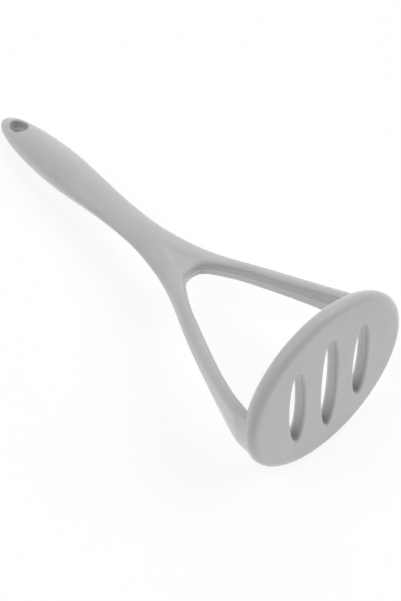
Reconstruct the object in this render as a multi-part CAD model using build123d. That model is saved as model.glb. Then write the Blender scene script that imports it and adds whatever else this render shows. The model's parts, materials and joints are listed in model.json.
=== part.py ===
from build123d import *
import math
import os

# Potato masher in millimetres: a silicone skin moulded in one piece over a nylon core.
# It lies on a table, as a masher is laid down: the plate stands on its rim at +X, and
# the handle slopes down to -X until the underside of its end touches the table.
# +Y runs across the fork, +Z is up, and the origin is on the table under the middle.

# The pieces are shaped standing on the mashing face, with the handle straight up.
# There x runs across the fork, y through its thickness, and z up from the mashing face.
# The plane y = 0 is the parting plane of the mould, where each section has its ends.

# Mashing plate
plate_diameter = 100
plate_thickness = 7.8
face_edge_reach = 4.1
face_edge_depth = 3.1
rim_land = 0.3

# Slots through the plate
slot_spacing = 21
middle_slot_length = 65
middle_slot_width = 9.3
side_slot_length = 51.6
side_slot_width = 8.9
slot_face_round = 1.4
slot_back_round = 2.4

# Fork: two arms that rise from the rim of the plate and close into the handle's neck
foot_thickness = 26.8
foot_width = 8.05
foot_setback = 0.15
neck_height = 150
window_height = 99
window_apex_round = 10.3
apex_round_start = 29
arm_edge_round = 2.5
wall_draft = 8

# Valley between the two lobes, which opens downwards from a point on the middle line
valley_top = 125
valley_run = 7
valley_depth = 0.8
valley_flare_share = 0.28

# Handle, fullest at the belly
tool_length = 275
neck_width = 19.1
neck_thickness = 9.8
grip_start = 155.5
belly_height = 218
grip_width = 24.3
grip_thickness = 18

# Hanging hole, an oval along the handle, measured on the parting plane
hole_length = 13
hole_width = 8
hole_from_end = 16.9
hole_edge_round = 0.9

# Silicone skin, and the keying holes that it fills in the core
skin_thickness = 1.5
handle_key_diameter = 4
handle_key_count = 4
plate_key_diameter = 3
plate_key_count = 6

# The window's cutter runs this far below the foot of the arms
overrun = 5

# Sections of the fork, from inside the plate up to the neck. Each row is a height as a
# share of the neck's height, a half width as a share of the way from the neck's out to
# the foot's, a half thickness as a share of the way from the neck's out to the foot's,
# the width of one lobe as a share of the half width, the fullness of the corners, and
# the draft of the outer faces as a share of the wall draft.
fork_section_shares = (
    (0.020, 1.020, 1.06, 0.170, 0.660, 1.0),
    (0.053, 1.012, 1.00, 0.170, 0.660, 1.0),
    (0.147, 0.936, 0.73, 0.180, 0.540, 1.0),
    (0.247, 0.820, 0.49, 0.200, 0.380, 1.0),
    (0.347, 0.689, 0.33, 0.230, 0.260, 1.0),
    (0.447, 0.544, 0.24, 0.290, 0.200, 1.0),
    (0.533, 0.402, 0.21, 0.370, 0.190, 0.9),
    (0.607, 0.283, 0.14, 0.470, 0.170, 0.7),
    (0.640, 0.236, 0.10, 0.525, 0.155, 0.6),
    (0.673, 0.193, 0.05, 0.580, 0.140, 0.5),
    (0.707, 0.155, 0.02, 0.650, 0.125, 0.4),
    (0.740, 0.122, 0.00, 0.720, 0.110, 0.2),
    (0.777, 0.091, 0.00, 0.800, 0.095, 0.1),
    (0.813, 0.065, 0.00, 0.870, 0.080, 0.0),
    (0.900, 0.018, 0.00, 0.970, 0.050, 0.0),
    (1.000, 0.000, 0.00, 1.000, 0.030, 0.0),
)

# How full the corners of the handle's oval section are, at the neck and from the belly on
neck_fullness_share = 0.03
grip_fullness_share = 0.09

# The window's side on the parting plane, from the back of the plate up to the apex round.
# Each row is a height as a share of the way between the two, and a half width as a share
# of the way from the round's out to the foot's.
window_side_shares = (
    (0.00, 1.000),
    (0.17, 0.912),
    (0.35, 0.762),
    (0.53, 0.580),
    (0.70, 0.398),
    (0.86, 0.218),
)

# How sharply a section turns from its lobes to the flat, how steep the valley's sides
# are, and how the handle narrows from the belly to its end
flat_power = 10
valley_power = 8
end_taper_power = 1.85
end_blunt_power = 2.45
end_thickness_power = 0.86

# Points along a quarter of a section, sections on the handle's rise and towards its end,
# how far round the end they go, steps of the window's apex, and the rounds in which the
# tool settles on the table
section_steps = 12
rise_steps = 6
end_steps = 9
end_turn = 87
apex_steps = 4
settle_rounds = 5


def mix(first, second, share):
    """The value that lies this share of the way from the first to the second."""
    return first + (second - first) * share


def valley_drop(across, height):
    """How far the valley lies below the lobes, at one place on a section."""
    below = valley_top - height
    if below <= 0:
        return 0
    deepening = 1 - 1 / (1 + (below / valley_run) ** 2)
    return valley_depth * deepening / (1 + (across / (valley_flare_share * below)) ** valley_power)


def section_point(degrees, height, half_width, half_thickness, lobe_share, fullness, draft):
    """A point on a quarter of a section, at 0 on the parting plane and at 90 in the middle."""
    along = math.cos(math.radians(degrees))
    out = math.sin(math.radians(degrees))
    lobe = half_width * lobe_share * along * (1 + fullness * out**2)
    bridge = half_width * (1 - lobe_share) * (1 - out**flat_power)
    slant = half_thickness * draft * math.tan(math.radians(wall_draft)) * out * along
    across = lobe + bridge - slant
    reach = half_thickness * out * (1 + fullness * along**2) - valley_drop(across, height) * out
    return across, reach


def section_wire(height, *sizes):
    """A closed section at one height, as a front and a back curve."""
    turns = [90 * step / section_steps for step in range(section_steps + 1)]
    right = [section_point(turn, height, *sizes) for turn in turns]
    left = [(-across, reach) for across, reach in reversed(right[:-1])]
    knots = [float(step) for step in range(2 * section_steps + 1)]
    front = [(across, -reach, height) for across, reach in right + left]
    back = [(across, reach, height) for across, reach in reversed(right + left)]
    return Wire([Edge.make_spline(front, parameters=knots), Edge.make_spline(back, parameters=knots)])


def fork_sections(inset):
    """The sections from inside the plate up to the neck, moved in by the inset."""
    sections = []
    for rise, spread, swell, *form in fork_section_shares:
        half_width = mix(neck_width, plate_diameter, spread) / 2 - inset
        half_thickness = mix(neck_thickness, foot_thickness, swell) / 2 - inset
        sections.append(section_wire(neck_height * rise, half_width, half_thickness, *form))
    return sections


def grip_sections(inset):
    """The sections from above the neck over the belly to the tip, moved in by the inset."""
    sections = []
    for step in range(rise_steps + 1):
        share = step / rise_steps
        swell = share**2 * (3 - 2 * share)
        half_width = mix(neck_width, grip_width, swell) / 2 - inset
        half_thickness = mix(neck_thickness, grip_thickness, swell) / 2 - inset
        fullness = mix(neck_fullness_share, grip_fullness_share, swell)
        height = mix(grip_start, belly_height, share)
        sections.append(section_wire(height, half_width, half_thickness, 1, fullness, 0))
    for step in range(1, end_steps + 1):
        narrow = math.cos(math.radians(end_turn * step / end_steps))
        share = (1 - narrow**end_blunt_power) ** (1 / end_taper_power)
        half_width = (grip_width / 2 - inset) * narrow
        half_thickness = (grip_thickness / 2 - inset) * narrow**end_thickness_power
        height = mix(belly_height, tool_length - inset, share)
        sections.append(section_wire(height, half_width, half_thickness, 1, grip_fullness_share, 0))
    return sections


def body_blank(inset):
    """The fork and the handle in one solid, still without the window."""
    return Solid.make_loft(fork_sections(inset) + grip_sections(inset))


def window_wire(reach, widen):
    """The window's outline in the plane y = reach, widened all round."""
    foot_half = plate_diameter / 2 - foot_width + widen
    apex_round = window_apex_round + widen
    apex_centre = window_height - window_apex_round
    side = apex_round * math.cos(math.radians(apex_round_start))
    start = apex_centre + apex_round * math.sin(math.radians(apex_round_start))
    right = [(foot_half, -overrun)]
    for rise, spread in window_side_shares:
        right.append((mix(side, foot_half, spread), mix(plate_thickness, start, rise)))
    for step in range(apex_steps):
        turn = math.radians(mix(apex_round_start, 90, step / apex_steps))
        right.append((apex_round * math.cos(turn), apex_centre + apex_round * math.sin(turn)))
    apex = (0, apex_centre + apex_round)
    left = [(-across, height) for across, height in reversed(right)]
    outline = [(across, reach, height) for across, height in right + [apex] + left]
    return Wire([Edge.make_spline(outline), Edge.make_line(outline[-1], outline[0])])


def hole_wire(reach, widen):
    """The hanging hole's outline in the plane y = reach, widened all round."""
    centre = (0, reach, tool_length - hole_from_end)
    facing = Plane(origin=centre, x_dir=(1, 0, 0), z_dir=(0, -1, 0))
    return Wire([Edge.make_ellipse(hole_width / 2 + widen, hole_length / 2 + widen, plane=facing)])


def drafted_cutter(outline, inset):
    """A cutter right through the tool, narrowest on the parting plane and wider to both faces."""
    widest = foot_thickness * math.tan(math.radians(wall_draft)) + inset
    middle = outline(0, inset)
    front = Solid.make_loft([outline(-foot_thickness, widest), middle], ruled=True)
    back = Solid.make_loft([middle, outline(foot_thickness, widest)], ruled=True)
    return front + back


def fork_and_handle(inset, edge_round):
    """The body with its window, and a round on the window's edges where one is given."""
    body = body_blank(inset) - drafted_cutter(window_wire, inset)
    if edge_round:
        rims = body.edges().filter_by(
            lambda edge: abs(edge.center().Y) > edge_round / 2 and edge.center().Z > plate_thickness
        )
        body = fillet(rims, edge_round)
    flank = plate_diameter / 2 - foot_setback - inset
    beyond = Pos(0, 0, -overrun) * (Circle(plate_diameter) - Circle(flank))
    return body - extrude(beyond, overrun + foot_thickness)


def plate_disc(inset):
    """The plate without its slots: its front edge is a flat oval curve, its back edge a round."""
    rim = plate_diameter / 2 - inset
    back = plate_thickness - inset
    reach = face_edge_reach - inset
    land_end = face_edge_depth + rim_land
    round_back = back - land_end
    front_centre = Plane(origin=(rim - reach, 0, face_edge_depth), x_dir=(1, 0, 0), z_dir=(0, -1, 0))
    back_centre = Plane(origin=(rim - round_back, 0, land_end), x_dir=(1, 0, 0), z_dir=(0, -1, 0))
    section = Wire([
        Edge.make_line((0, 0, inset), (rim - reach, 0, inset)),
        Edge.make_ellipse(reach, face_edge_depth - inset, front_centre, 270, 360),
        Edge.make_line((rim, 0, face_edge_depth), (rim, 0, land_end)),
        Edge.make_circle(round_back, back_centre, 0, 90),
        Edge.make_line((rim - round_back, 0, back), (0, 0, back)),
        Edge.make_line((0, 0, back), (0, 0, inset)),
    ])
    return revolve(Face(section), Axis.Z)


def mashing_plate(inset, rounded):
    """The slotted round plate, its faces moved in by the inset and its slots widened by it."""
    thickness = plate_thickness - 2 * inset
    disc = plate_disc(inset)
    for across, length, width in (
        (0, middle_slot_length, middle_slot_width),
        (-slot_spacing, side_slot_length, side_slot_width),
        (slot_spacing, side_slot_length, side_slot_width),
    ):
        slot = Pos(across, 0, inset) * Ellipse(width / 2 + inset, length / 2 + inset)
        disc -= extrude(slot, thickness)
    if rounded:
        mouths = disc.edges().filter_by(GeomType.ELLIPSE).group_by(Axis.Z)
        disc = fillet(mouths[0], slot_face_round)
        mouths = disc.edges().filter_by(GeomType.ELLIPSE).group_by(Axis.Z)
        disc = fillet(mouths[-1], slot_back_round)
    return disc


def outer_form():
    """The whole tool, as it is seen and held."""
    form = fork_and_handle(0, arm_edge_round) - drafted_cutter(hole_wire, 0)
    mouth_from = tool_length - hole_from_end - hole_length
    mouths = form.edges().filter_by(
        lambda edge: edge.center().Z > mouth_from and abs(edge.center().Y) > hole_edge_round
    )
    form = fillet(mouths, hole_edge_round)
    return form + mashing_plate(0, True)


def keying_holes():
    """The round holes through the core that the silicone fills, in the handle and the plate."""
    grip_clear = tool_length - hole_from_end - hole_length
    from_middle = mix(middle_slot_length, plate_diameter, 1 / 2) / 2
    holes = []
    for number in range(handle_key_count):
        height = mix(neck_height, grip_clear, number / handle_key_count)
        start = Plane.XZ.offset(-grip_thickness) * Pos(0, height)
        holes.append(extrude(start * Circle(handle_key_diameter / 2), 2 * grip_thickness))
    for number in range(plate_key_count):
        turn = math.tau * (number + 1 / 2) / plate_key_count
        place = Pos(from_middle * math.cos(turn), from_middle * math.sin(turn))
        holes.append(extrude(place * Circle(plate_key_diameter / 2), plate_thickness))
    return holes


def nylon_core():
    """The stiff core: the tool's form moved in by the skin, with its keying holes."""
    core = fork_and_handle(skin_thickness, 0) - drafted_cutter(hole_wire, skin_thickness)
    core += mashing_plate(skin_thickness, False)
    for hole in keying_holes():
        core -= hole
    return core


def lying(tilt):
    """The plane that carries a standing shape when the tool lies with this tilt in degrees."""
    down = math.radians(tilt)
    return Plane(origin=(0, 0, 0), x_dir=(0, 1, 0), z_dir=(-math.cos(down), 0, -math.sin(down)))


def resting_tilt():
    """The tilt at which the plate's rim and the handle's end touch one table."""
    plate = mashing_plate(0, False)
    handle = body_blank(0)
    tilt = 0
    for _ in range(settle_rounds):
        plate_bottom = (lying(tilt) * plate).bounding_box().min.Z
        handle_bottom = (lying(tilt) * handle).bounding_box().min.Z
        tilt += math.degrees(math.atan2(handle_bottom - plate_bottom, tool_length))
    return tilt


os.makedirs("parts", exist_ok=True)
form = outer_form()
core = nylon_core()
skin = form - core

tilt = resting_tilt()
box = (lying(tilt) * form).bounding_box()
table = Pos(-box.center().X, -box.center().Y, -box.min.Z)
for name, piece in (("silicone_skin", skin), ("nylon_core", core)):
    export_step(table * (lying(tilt) * piece), f"parts/{name}.step")

print(f"tilt {tilt:.3f} degrees, table offset {table.position}")
print(f"box {box.size}")
print(f"skin {skin.volume:.0f} mm3, core {core.volume:.0f} mm3")
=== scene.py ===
import json
import math

import bmesh
import bpy
from mathutils import Matrix, Vector
from mathutils.bvhtree import BVHTree


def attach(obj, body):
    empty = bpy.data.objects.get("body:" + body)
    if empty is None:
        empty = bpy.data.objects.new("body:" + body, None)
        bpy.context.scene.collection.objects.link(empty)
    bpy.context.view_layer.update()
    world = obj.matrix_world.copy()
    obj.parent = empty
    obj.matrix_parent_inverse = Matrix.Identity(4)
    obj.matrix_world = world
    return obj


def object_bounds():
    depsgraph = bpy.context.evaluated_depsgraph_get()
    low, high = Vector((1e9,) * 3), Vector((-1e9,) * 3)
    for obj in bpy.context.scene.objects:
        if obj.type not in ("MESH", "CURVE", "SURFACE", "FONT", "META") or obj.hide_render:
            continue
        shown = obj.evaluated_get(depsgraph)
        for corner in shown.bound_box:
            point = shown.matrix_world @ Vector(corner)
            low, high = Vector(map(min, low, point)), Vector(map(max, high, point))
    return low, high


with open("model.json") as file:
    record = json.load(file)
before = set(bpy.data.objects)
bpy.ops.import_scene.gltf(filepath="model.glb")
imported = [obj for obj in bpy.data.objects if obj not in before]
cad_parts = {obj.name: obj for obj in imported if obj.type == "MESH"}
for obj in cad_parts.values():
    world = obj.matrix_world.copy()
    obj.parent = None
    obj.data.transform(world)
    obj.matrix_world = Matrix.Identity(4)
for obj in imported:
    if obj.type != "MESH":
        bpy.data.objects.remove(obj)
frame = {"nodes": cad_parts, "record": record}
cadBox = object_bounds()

# The masher lies on a white table: +X towards the plate, +Y across the fork, +Z up.
scene = bpy.context.scene
scene.view_settings.view_transform = "Standard"
mounts = {mount["name"]: mount for mount in frame["record"]["mounts"]}
mm = 0.001  # in metres


# Node helpers

def newMaterial(name):
    material = bpy.data.materials.new(name)
    material.use_nodes = True
    material.node_tree.nodes.clear()
    return material


def addNode(tree, kind, place, **settings):
    node = tree.nodes.new(kind)
    node.location = place
    for key, value in settings.items():
        setattr(node, key, value)
    return node


def newGroup(name, inputs, outputs):
    group = bpy.data.node_groups.new(name, "ShaderNodeTree")
    for label, kind in inputs:
        group.interface.new_socket(name=label, in_out="INPUT", socket_type=kind)
    for label, kind in outputs:
        group.interface.new_socket(name=label, in_out="OUTPUT", socket_type=kind)
    given = addNode(group, "NodeGroupInput", (-900, 0))
    result = addNode(group, "NodeGroupOutput", (600, 0))
    return group, given, result


# Camera

cameraView = {
    "spot": (0.26403, -0.22730, 0.47713),  # where the camera stands
    "aim": (0.04766, -0.00615, 0.03001),  # a point in the middle of the picture
    "roll": 5.754,  # degrees
    "lens": 63.2,  # millimetres
    "nearest": 0.01,  # anything closer than this isn't drawn
}


def addCamera():
    data = bpy.data.cameras.new("photoCamera")
    data.lens = cameraView["lens"]
    data.clip_start = cameraView["nearest"]
    camera = bpy.data.objects.new("photoCamera", data)
    spot = Vector(cameraView["spot"])
    look = (Vector(cameraView["aim"]) - spot).to_track_quat("-Z", "Y").to_matrix().to_4x4()
    roll = Matrix.Rotation(math.radians(cameraView["roll"]), 4, "Z")
    camera.matrix_world = Matrix.Translation(spot) @ look @ roll
    scene.collection.objects.link(camera)
    scene.camera = camera


addCamera()
print("camera set")


# Light: soft panels all round a white room, the strongest of them high up

studio = {
    "roomLevel": 0.03,  # light of the room itself on the object
    "roomMirrored": 1.5,  # the room as the object mirrors it
    "roomSeen": 1.05,  # the room as the camera sees it
    "panelSpread": 40,  # how wide each panel looks from the object, in degrees
    "panels": {  # heading from +X towards +Y, height in degrees, level
        "highRight": (60, 55, 0.385),
        "highLeft": (120, 55, 0.17),
        "highFront": (240, 55, 0.385),
        "lowRight": (45, 20, 0.065),
        "lowBack": (90, 20, 0.03),
        "lowLeft": (135, 20, 0.1),
        "lowEnd": (180, 20, 0.035),
        "lowFront": (225, 20, 0.08),
    },
}


def addPanel(name, heading, height, level):
    data = bpy.data.lights.new(name, "SUN")
    data.energy = math.pi * level  # a white matt face square to it then renders at this level
    data.angle = math.radians(studio["panelSpread"])
    lamp = bpy.data.objects.new(name, data)
    turn, rise = math.radians(heading), math.radians(height)
    outward = math.cos(rise)
    towards = Vector((outward * math.cos(turn), outward * math.sin(turn), math.sin(rise)))
    lamp.rotation_euler = towards.to_track_quat("Z", "Y").to_euler()
    scene.collection.objects.link(lamp)


def rayLevel(tree, levels):
    # A strength that is the sum of one level for each kind of ray that meets the surface
    path = addNode(tree, "ShaderNodeLightPath", (-900, 200))
    total = None
    for number, (kind, level) in enumerate(levels.items()):
        step = addNode(tree, "ShaderNodeMath", (-700 + 180 * number, 200), operation="MULTIPLY_ADD")
        step.inputs[1].default_value = level
        step.inputs[2].default_value = 0
        tree.links.new(path.outputs[kind], step.inputs[0])
        if total:
            tree.links.new(total, step.inputs[2])
        total = step.outputs[0]
    return total


def addRoom():
    world = bpy.data.worlds.new("whiteRoom")
    world.use_nodes = True
    tree = world.node_tree
    tree.nodes.clear()
    levels = {
        "Is Camera Ray": studio["roomSeen"],
        "Is Diffuse Ray": studio["roomLevel"],
        "Is Glossy Ray": studio["roomMirrored"],
    }
    surface = addNode(tree, "ShaderNodeBackground", (200, 0))
    surface.inputs["Color"].default_value = (1, 1, 1, 1)
    output = addNode(tree, "ShaderNodeOutputWorld", (400, 0))
    tree.links.new(rayLevel(tree, levels), surface.inputs["Strength"])
    tree.links.new(surface.outputs[0], output.inputs["Surface"])
    world.cycles.sampling_method = "NONE"  # so that mirrored rays meet the whole of the white
    scene.world = world


addRoom()
for panelName, panel in studio["panels"].items():
    addPanel(panelName, *panel)
print("light set")


# Table

table = {
    "half": 6.0,  # half of its side, in metres
    "colour": (0.9, 0.9, 0.9, 1),
    "bleach": 0.8,  # how far the seen table is lifted to plain white
    "white": 1.04,  # the level of that white
    "glow": 0.45,  # what the table, lit from below, adds to the light on the object
    "mirroredGlow": 0.85,  # the same, as the object mirrors it
}


def tableMaterial():
    material = newMaterial("tableWhite")
    tree = material.node_tree
    levels = {
        "Is Camera Ray": table["bleach"] * table["white"],
        "Is Diffuse Ray": table["glow"],
        "Is Glossy Ray": table["mirroredGlow"],
    }
    matt = addNode(tree, "ShaderNodeBsdfDiffuse", (0, 0))
    matt.inputs["Color"].default_value = table["colour"]
    faded = addNode(tree, "ShaderNodeMixShader", (200, 0))
    glow = addNode(tree, "ShaderNodeEmission", (200, -200))
    both = addNode(tree, "ShaderNodeAddShader", (400, 0))
    output = addNode(tree, "ShaderNodeOutputMaterial", (600, 0))
    tree.links.new(rayLevel(tree, {"Is Camera Ray": table["bleach"]}), faded.inputs["Fac"])
    tree.links.new(rayLevel(tree, levels), glow.inputs["Strength"])
    tree.links.new(matt.outputs[0], faded.inputs[1])
    tree.links.new(faded.outputs[0], both.inputs[0])
    tree.links.new(glow.outputs[0], both.inputs[1])
    tree.links.new(both.outputs[0], output.inputs["Surface"])
    material.cycles.emission_sampling = "NONE"
    return material


def addTable():
    mesh = bpy.data.meshes.new("table")
    half = table["half"]
    corners = [(-half, -half, 0), (half, -half, 0), (half, half, 0), (-half, half, 0)]
    mesh.from_pydata(corners, [], [(0, 1, 2, 3)])
    mesh.materials.append(tableMaterial())
    top = bpy.data.objects.new("table", mesh)
    scene.collection.objects.link(top)


addTable()
print("table set")


# The moulded surface: slow clouds of tone, and the fine grain that a blasted mould leaves

moulding = {
    "cloudDetail": 3,
    "cloudRoughness": 0.6,
    "cloudEdges": (0.3, 0.7),  # the noise below and above which the tone is flat
    "grainDetail": 2,
    "grainStrength": 0.35,
}


def buildMouldedSurface():
    number, vector = "NodeSocketFloat", "NodeSocketVector"
    inputs = [("Cloud Scale", number), ("Grain Scale", number), ("Depth", number)]
    outputs = [("Tone", number), ("Grain", number), ("Normal", vector)]
    group, given, result = newGroup("mouldedSurface", inputs, outputs)
    place = addNode(group, "ShaderNodeTexCoord", (-900, 300))
    clouds = addNode(group, "ShaderNodeTexNoise", (-600, 300))
    clouds.inputs["Detail"].default_value = moulding["cloudDetail"]
    clouds.inputs["Roughness"].default_value = moulding["cloudRoughness"]
    grain = addNode(group, "ShaderNodeTexNoise", (-600, -100))
    grain.inputs["Detail"].default_value = moulding["grainDetail"]
    soften = addNode(group, "ShaderNodeMapRange", (-300, 300), interpolation_type="SMOOTHSTEP")
    soften.inputs["From Min"].default_value = moulding["cloudEdges"][0]
    soften.inputs["From Max"].default_value = moulding["cloudEdges"][1]
    bump = addNode(group, "ShaderNodeBump", (0, -200))
    bump.inputs["Strength"].default_value = moulding["grainStrength"]
    group.links.new(place.outputs["Object"], clouds.inputs["Vector"])
    group.links.new(place.outputs["Object"], grain.inputs["Vector"])
    group.links.new(given.outputs["Cloud Scale"], clouds.inputs["Scale"])
    group.links.new(given.outputs["Grain Scale"], grain.inputs["Scale"])
    group.links.new(clouds.outputs["Fac"], soften.inputs["Value"])
    group.links.new(grain.outputs["Fac"], bump.inputs["Height"])
    group.links.new(given.outputs["Depth"], bump.inputs["Distance"])
    group.links.new(soften.outputs["Result"], result.inputs["Tone"])
    group.links.new(grain.outputs["Fac"], result.inputs["Grain"])
    group.links.new(bump.outputs["Normal"], result.inputs["Normal"])
    return group


mouldedSurface = buildMouldedSurface()


def mouldedMaterial(name, finish):
    material = newMaterial(name)
    tree = material.node_tree
    surface = addNode(tree, "ShaderNodeGroup", (-700, 0), node_tree=mouldedSurface)
    surface.inputs["Cloud Scale"].default_value = finish["cloudScale"]
    surface.inputs["Grain Scale"].default_value = finish["grainScale"]
    surface.inputs["Depth"].default_value = finish["grainDepth"]
    colour = addNode(tree, "ShaderNodeMix", (-350, 200), data_type="RGBA")
    colour.inputs["A"].default_value = finish["darkColour"]
    colour.inputs["B"].default_value = finish["lightColour"]
    rough = addNode(tree, "ShaderNodeMapRange", (-350, -100))
    rough.inputs["To Min"].default_value = finish["roughness"][0]
    rough.inputs["To Max"].default_value = finish["roughness"][1]
    shader = addNode(tree, "ShaderNodeBsdfPrincipled", (0, 0))
    shader.inputs["IOR"].default_value = finish["ior"]
    output = addNode(tree, "ShaderNodeOutputMaterial", (300, 0))
    tree.links.new(surface.outputs["Tone"], colour.inputs["Factor"])
    tree.links.new(surface.outputs["Grain"], rough.inputs["Value"])
    tree.links.new(colour.outputs["Result"], shader.inputs["Base Color"])
    tree.links.new(rough.outputs["Result"], shader.inputs["Roughness"])
    tree.links.new(surface.outputs["Normal"], shader.inputs["Normal"])
    tree.links.new(shader.outputs[0], output.inputs["Surface"])
    return material


def dress(node, material):
    node.data.materials.clear()
    node.data.materials.append(material)


# Silicone skin: a pale matt grey

silicone = {
    "darkColour": (0.437, 0.437, 0.437, 1),
    "lightColour": (0.462, 0.462, 0.461, 1),
    "roughness": (0.36, 0.46),
    "ior": 1.45,
    "cloudScale": 45,
    "grainScale": 2600,
    "grainDepth": 0.00002,
}
skin = frame["nodes"]["silicone_skin"]
dress(skin, mouldedMaterial("greySilicone", silicone))
print("skin set")


# Nylon core, closed in by the skin: dark, with the cloudy gloss of a glass-filled moulding

nylon = {
    "darkColour": (0.075, 0.075, 0.078, 1),
    "lightColour": (0.12, 0.12, 0.122, 1),
    "roughness": (0.4, 0.62),
    "ior": 1.53,
    "cloudScale": 120,
    "grainScale": 1400,
    "grainDepth": 0.00003,
}
core = frame["nodes"]["nylon_core"]
dress(core, mouldedMaterial("darkNylon", nylon))
print("core set")


# Parting line: the fine rounded ridge that the mould's two halves leave on the silicone; on the
# fork and handle it is painted lighter than the silicone, a painted highlight along the ridge

partingLine = {
    "radius": 0.36 * mm,
    "sunk": 0.24 * mm,  # how far its middle lies under the surface
    "sides": 10,  # points in each ring
    "step": 1.2 * mm,  # from one ring to the next
    "settle": 3,  # rounds of smoothing along the line
    "plateBack": 8.6 * mm,  # the line on the arms starts this far behind the mashing face
    "rimDepth": 3.25 * mm,  # the line round the rim lies this far behind the mashing face
    "rimMiddle": 49.72 * mm,  # from the plate's middle to the middle of that line
    "rimRings": 260,
    "weld": 0.001 * mm,  # points of the skin's mesh that are closer than this are one
    "fewest": 10,  # a cut with no more points than this is no line
    # painted highlight: these colours are lighter than the silicone's so that the ridge reads as
    # catching light
    "darkColour": (0.6, 0.6, 0.6, 1),
    "lightColour": (0.66, 0.66, 0.66, 1),
}
facing = Vector(mounts["mashing_face"]["axis"]).normalized()  # out of the mashing face
across = Vector(mounts["hanging_hole"]["axis"]).normalized()  # square to the parting plane
faceSpot = Vector(mounts["mashing_face"]["pos_m"])
plateMiddle = Vector((faceSpot.x, 0, faceSpot.z))


def outerShell(node):
    # The outer surface alone, without the inner one round the core
    form = bmesh.new()
    form.from_mesh(node.data)
    bmesh.ops.transform(form, matrix=node.matrix_world, verts=form.verts)
    bmesh.ops.remove_doubles(form, verts=form.verts, dist=partingLine["weld"])
    start = max(form.verts, key=lambda vert: vert.co.x)
    reached = {start}
    waiting = [start]
    while waiting:
        for edge in waiting.pop().link_edges:
            fresh = [vert for vert in edge.verts if vert not in reached]
            reached.update(fresh)
            waiting.extend(fresh)
    inner = [vert for vert in form.verts if vert not in reached]
    bmesh.ops.delete(form, geom=inner, context="VERTS")
    return form


def partingChains(form):
    # Where the parting plane cuts the fork and handle: lists of points, and if each one closes
    parts = form.verts[:] + form.edges[:] + form.faces[:]
    cut = bmesh.ops.bisect_plane(form, geom=parts, dist=partingLine["weld"],
                                 plane_co=mounts["hanging_hole"]["pos_m"], plane_no=across)
    beside = {}
    for line in cut["geom_cut"]:
        if not isinstance(line, bmesh.types.BMEdge):
            continue
        if min((faceSpot - vert.co).dot(facing) for vert in line.verts) <= partingLine["plateBack"]:
            continue
        for vert in line.verts:
            beside.setdefault(vert, []).append(line.other_vert(vert))
    chains = []
    left = set(beside)
    for start in sorted(beside, key=lambda vert: (len(beside[vert]), vert.co.x, vert.co.y)):
        if start not in left:
            continue
        chain = [start]
        left.discard(start)
        while True:
            onward = [vert for vert in beside[chain[-1]] if vert in left]
            if not onward:
                break
            chain.append(onward[0])
            left.discard(onward[0])
        chains.append(([vert.co.copy() for vert in chain], len(beside[start]) > 1))
    return [chain for chain in chains if len(chain[0]) > partingLine["fewest"]]


def evenPoints(points, closed):
    # The same line with points one step apart
    if closed:
        points = points + points[:1]
    lengths = [0]
    for before, after in zip(points, points[1:]):
        lengths.append(lengths[-1] + (after - before).length)
    count = max(2, round(lengths[-1] / partingLine["step"]))
    even = []
    place = 0
    for number in range(count if closed else count + 1):
        along = lengths[-1] * number / count
        while place < len(points) - 2 and lengths[place + 1] < along:
            place += 1
        share = (along - lengths[place]) / (lengths[place + 1] - lengths[place])
        even.append(points[place].lerp(points[place + 1], share))
    return even


def settled(values, closed):
    # Evened out along the line, with an open line's ends kept
    for again in range(partingLine["settle"]):
        before = values[-1:] + values[:-1]
        after = values[1:] + values[:1]
        eased = [(low + value * 2 + high) / 4 for low, value, high in zip(before, values, after)]
        if not closed:
            eased[0], eased[-1] = values[0], values[-1]
        values = eased
    return values


def kept(point):
    # Inside the box of the CAD model
    return Vector([min(max(value, low), high) for value, low, high in zip(point, *cadBox)])


def addRidge(name, stations, side, closed, material):
    # A thin round bead: stations are its middle points, each with the way out of the surface there
    form = bmesh.new()
    rings = []
    sides = partingLine["sides"]
    for middle, outward in stations:
        ring = []
        for number in range(sides):
            turn = 2 * math.pi * number / sides
            reach = (outward * math.cos(turn) + side * math.sin(turn)) * partingLine["radius"]
            ring.append(form.verts.new(kept(middle + reach)))
        rings.append(ring)
    following = rings[1:] + rings[:1] if closed else rings[1:]
    for ring, ahead in zip(rings, following):
        for number in range(sides):
            beyond = (number + 1) % sides
            form.faces.new((ring[number], ring[beyond], ahead[beyond], ahead[number]))
    if not closed:
        form.faces.new(rings[0][::-1])
        form.faces.new(rings[-1])
    bmesh.ops.recalc_face_normals(form, faces=form.faces)
    for face in form.faces:
        face.smooth = len(face.verts) == 4
    mesh = bpy.data.meshes.new(name)
    form.to_mesh(mesh)
    form.free()
    mesh.materials.append(material)
    ridge = bpy.data.objects.new(name, mesh)
    scene.collection.objects.link(ridge)
    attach(ridge, "root")


def addPartingLines():
    # the lines on the fork and handle get the lighter colours, a painted highlight; the rim line
    # keeps the plain silicone
    paintedHighlightColours = {key: partingLine[key] for key in ("darkColour", "lightColour")}
    material = mouldedMaterial("partingHighlightSilicone", {**silicone, **paintedHighlightColours})
    shell = outerShell(skin)
    chains = partingChains(shell)
    surface = BVHTree.FromBMesh(shell)
    for number, (points, closed) in enumerate(chains, 1):
        even = settled(evenPoints(points, closed), closed)
        found = [surface.find_nearest(point)[:2] for point in even]
        ways = [normal - across * normal.dot(across) for spot, normal in found]
        ways = [way.normalized() for way in settled(ways, closed)]
        stations = [(spot - way * partingLine["sunk"], way)
                    for (spot, normal), way in zip(found, ways)]
        addRidge(f"parting_line_{number}", stations, across, closed, material)
    shell.free()
    sideways = Vector((0, 1, 0))
    upward = facing.cross(sideways)
    middle = plateMiddle - facing * partingLine["rimDepth"]
    rim = []
    for number in range(partingLine["rimRings"]):
        turn = 2 * math.pi * number / partingLine["rimRings"]
        way = sideways * math.cos(turn) + upward * math.sin(turn)
        rim.append((middle + way * partingLine["rimMiddle"], way))
    addRidge("rim_parting_line", rim, facing, True, skin.data.materials[0])
    return len(chains)


print("parting lines:", addPartingLines(), "on the fork and handle, one on the rim")
